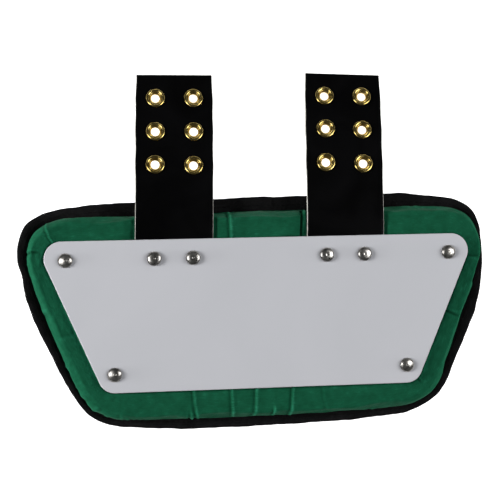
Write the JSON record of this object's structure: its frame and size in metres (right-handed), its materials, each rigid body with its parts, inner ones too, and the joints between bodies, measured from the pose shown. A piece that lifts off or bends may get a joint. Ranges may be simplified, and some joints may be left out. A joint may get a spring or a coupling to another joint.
{
  "type": "football back plate",
  "caption": "Flat rounded-trapezoid plastic plate riveted to a green fabric pad with black tape edge and black eyelet straps.",
  "frame": {"origin": "the pad's flat back face, under the centre of the plate", "axes": "+X across the width, +Y towards the strap ends, +Z out of the front of the plate"},
  "size_m": [0.3147, 0.2363, 0.0263],
  "materials": {
    "plate_plastic": "satin white moulded sheet",
    "pad_fabric": "woven nylon cover over foam, dark green",
    "binding_tape": "woven black edge tape",
    "strap_coating": "smooth coated webbing, half gloss black",
    "eyelet_brass": "polished, a little tarnished",
    "rivet_steel": "nickel plated domed head"
  },
  "bodies": {
    "root": {"plate": "plate_plastic", "pad": "pad_fabric", "binding": "binding_tape", "strap_left": "strap_coating", "eyelet_left_1_outer": "eyelet_brass", "eyelet_left_1_inner": "eyelet_brass", "eyelet_left_2_outer": "eyelet_brass", "eyelet_left_2_inner": "eyelet_brass", "eyelet_left_3_outer": "eyelet_brass", "eyelet_left_3_inner": "eyelet_brass", "strap_right": "strap_coating", "eyelet_right_1_outer": "eyelet_brass", "eyelet_right_1_inner": "eyelet_brass", "eyelet_right_2_outer": "eyelet_brass", "eyelet_right_2_inner": "eyelet_brass", "eyelet_right_3_outer": "eyelet_brass", "eyelet_right_3_inner": "eyelet_brass", "rivet_top_left": "rivet_steel", "rivet_top_right": "rivet_steel", "rivet_bottom_left": "rivet_steel", "rivet_bottom_right": "rivet_steel", "rivet_strap_left_outer": "rivet_steel", "rivet_strap_left_inner": "rivet_steel", "rivet_strap_right_outer": "rivet_steel", "rivet_strap_right_inner": "rivet_steel"}
  },
  "joints": []
}
